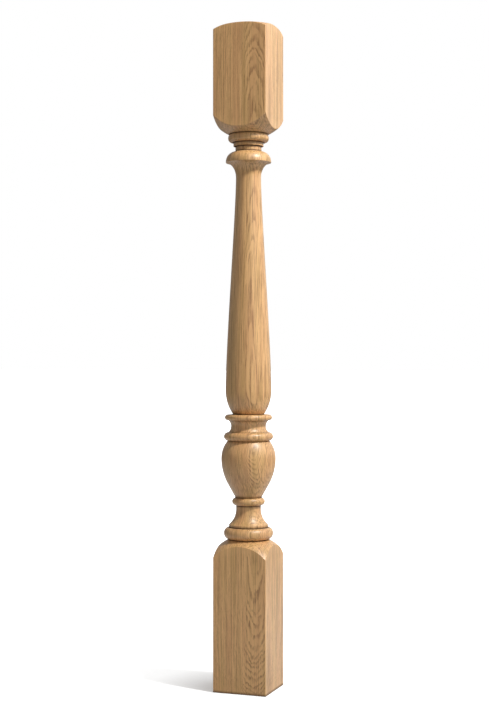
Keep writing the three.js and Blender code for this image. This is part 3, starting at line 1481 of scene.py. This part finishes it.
@dataclass(frozen=True)
class Glow:
    """A soft bright patch of the surroundings.

    Attributes:
        way: Where it is: to the right of the post, behind it and up, as the camera sees it.
        strength: Its brightness at the heart.
        rim: The cosine of the angle from its middle where it begins.
        heart: The cosine of the angle where it is at full strength.
    """

    way: Triple
    strength: float
    rim: float = 0.3
    heart: float = 0.9


@dataclass(frozen=True)
class KeyLight:
    """The key light, a small near disc. Lengths are in metres.

    Attributes:
        place: Where it hangs: to the right of the post, behind it and up, as the camera sees it.
        target_height: The height on the post's axis that it points at.
        size: Its width.
        energy: Its power in watts.
    """

    place: Triple = (1.30, -1.00, 2.50)
    target_height: float = 0.6
    size: float = 0.26
    energy: float = 61.5


@dataclass(frozen=True)
class PaleFloor:
    """The plain floor, white to the camera, which throws only a little light back at the post.

    Lengths are distances from the post's axis, in metres. The floor glows by them, so that it
    melts into the backdrop; close to the post its glow is weaker, a painted shade round the base.

    Attributes:
        size: How far it reaches.
        seen_share: The share of the light that it throws back to the camera.
        felt_share: The share that it throws back to the post.
        near_glow: Its glow for the camera beside the post, weaker close to it as a painted shade.
        far_glow: What is added to that farther off.
        cast_start: Where it begins to light the post.
        cast_glow: How strongly it does.
        mirrored_glow: What is added to that in the post's reflections.
    """

    size: float = 60.0
    seen_share: float = 0.86
    felt_share: float = 0.24
    near_glow: Slope = (0.075, 0.19, 0.30, 0.62)
    far_glow: Slope = (0.19, 2.5, 0.0, 0.8)
    cast_start: tuple[float, float] = (0.06, 0.40)
    cast_glow: Slope = (0.5, 2.5, 0.26, 0.0)
    mirrored_glow: Slope = (1.2, 4.5, 0.50, 0.0)

    def build(self) -> None:
        """Lays the floor."""
        size = self.size
        mesh = bpy.data.meshes.new("floor")
        corners = [(-size, -size, 0.0), (size, -size, 0.0), (size, size, 0.0), (-size, size, 0.0)]
        mesh.from_pydata(corners, [], [(0, 1, 2, 3)])
        mesh.materials.append(self._material())
        floor = bpy.data.objects.new("floor", mesh)
        bpy.context.collection.objects.link(floor)

    def _material(self) -> bpy.types.Material:
        """Builds the floor's white."""
        material = bpy.data.materials.new("Studio floor")
        material.use_nodes = True
        material.node_tree.nodes.clear()
        g = Graph(material.node_tree)
        place = g.add("ShaderNodeTexCoord").outputs["Object"]
        length = g.add("ShaderNodeVectorMath", {"Vector": place}, operation="LENGTH")
        away = g.out(length, "Value")
        # Beside the post the glow is weaker, which paints a shade round its base
        glow = g.ramp(away, *self.near_glow) + g.ramp(away, *self.far_glow)
        cast = g.ramp(away, *self.cast_start) * g.ramp(away, *self.cast_glow)
        glossy = g.out(g.add("ShaderNodeLightPath"), "Is Glossy Ray")
        mirrored = g.ramp(away, *self.mirrored_glow) * glossy
        seen = self._lit_white(g, self.seen_share, glow)
        felt = self._lit_white(g, self.felt_share, cast + mirrored)
        g.add("ShaderNodeOutputMaterial", {"Surface": seen_and_felt(g, seen, felt)})
        return material

    @staticmethod
    def _lit_white(g: Graph, share: float, glow: Wire) -> bpy.types.NodeSocket:
        """Returns a white that throws back a share of its light and glows a little."""
        white = g.add("ShaderNodeBsdfDiffuse", {"Color": (share, share, share, 1.0)})
        glowing = g.add("ShaderNodeEmission", {"Color": WHITE, "Strength": glow})
        both = g.add("ShaderNodeAddShader")
        return g.fill(both, white.outputs["BSDF"], glowing.outputs["Emission"]).outputs["Shader"]


@dataclass(frozen=True)
class Studio:
    """The camera, the lights and the surroundings. Lengths are in metres.

    Attributes:
        turn: How far round the post the camera stands, in degrees.
        distance: From the camera to the post's axis, along its view.
        aside: How far the axis stands to the right of the view's centre.
        eye_height: The camera's height. It looks level.
        lens: Focal length in millimetres on a 36 mm sensor.
        far_clip: How far the camera sees.
        floor: The floor.
        key: The key light.
        glows: The bright patches of the surroundings.
    """

    turn: float = 19.88
    distance: float = 2.574
    aside: float = 0.00727
    eye_height: float = 0.5999
    lens: float = 71.31
    far_clip: float = 200.0
    floor: PaleFloor = field(default_factory=PaleFloor)
    key: KeyLight = field(default_factory=KeyLight)
    glows: tuple[Glow, ...] = (
        Glow((0.62, 0.75, 0.1), 0.94),
        Glow((0.8, -0.6, 0.1), 0.82),
        Glow((0.1, -1.0, 0.3), 0.21),
        Glow((-1.0, 0.1, 0.2), 0.38),
    )

    def along(self, right: float, back: float, up: float) -> Vector:
        """Returns a place to the right of the post, behind it and up, as the camera sees it."""
        turn = math.radians(self.turn)
        across = Vector((math.cos(turn), math.sin(turn), 0.0))
        away = Vector((-math.sin(turn), math.cos(turn), 0.0))
        return across * right + away * back + Vector((0.0, 0.0, up))

    def build(self) -> None:
        """Builds the whole studio."""
        self._camera()
        self.floor.build()
        self._world()
        self._light()
        bpy.context.scene.view_settings.view_transform = "Standard"

    def _camera(self) -> None:
        """Stands the camera where the photograph was taken from."""
        camera = bpy.data.cameras.new("camera")
        camera.lens = self.lens
        camera.clip_end = self.far_clip
        seen = bpy.data.objects.new("camera", camera)
        seen.location = self.along(-self.aside, -self.distance, self.eye_height)
        seen.rotation_euler = (math.pi / 2, 0.0, math.radians(self.turn))
        bpy.context.collection.objects.link(seen)
        bpy.context.scene.camera = seen

    def _world(self) -> None:
        """Surrounds the post with white for the camera and with soft glows for all else."""
        world = bpy.data.worlds.new("studio")
        world.use_nodes = True
        world.node_tree.nodes.clear()
        g = Graph(world.node_tree)
        x, y, z = g.parts(g.add("ShaderNodeTexCoord").outputs["Generated"])
        level: Number = 0.0
        for glow in self.glows:
            way = self.along(*glow.way).normalized()
            facing = x * way.x + y * way.y + z * way.z
            level = level + g.ramp(facing, glow.rim, glow.heart, 0.0, glow.strength)
        felt, seen = (
            g.add("ShaderNodeBackground", {"Color": WHITE, "Strength": strength})
            for strength in (level, 1.0)
        )
        both = seen_and_felt(g, seen.outputs["Background"], felt.outputs["Background"])
        g.add("ShaderNodeOutputWorld", {"Surface": both})
        bpy.context.scene.world = world

    def _light(self) -> None:
        """Hangs the key light."""
        key = bpy.data.lights.new("key", "AREA")
        key.shape = "DISK"
        key.size = self.key.size
        key.energy = self.key.energy
        lamp = bpy.data.objects.new(key.name, key)
        lamp.location = self.along(*self.key.place)
        target = Vector((0.0, 0.0, self.key.target_height))
        lamp.rotation_euler = (target - lamp.location).to_track_quat("-Z", "Y").to_euler()
        bpy.context.collection.objects.link(lamp)


def main() -> None:
    """Builds the post and its studio in order."""
    logging.basicConfig(level=logging.INFO, format="%(name)s: %(message)s")
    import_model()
    NewelPost().build(OakFinish())
    Studio().build()


if __name__ == "__main__":
    main()
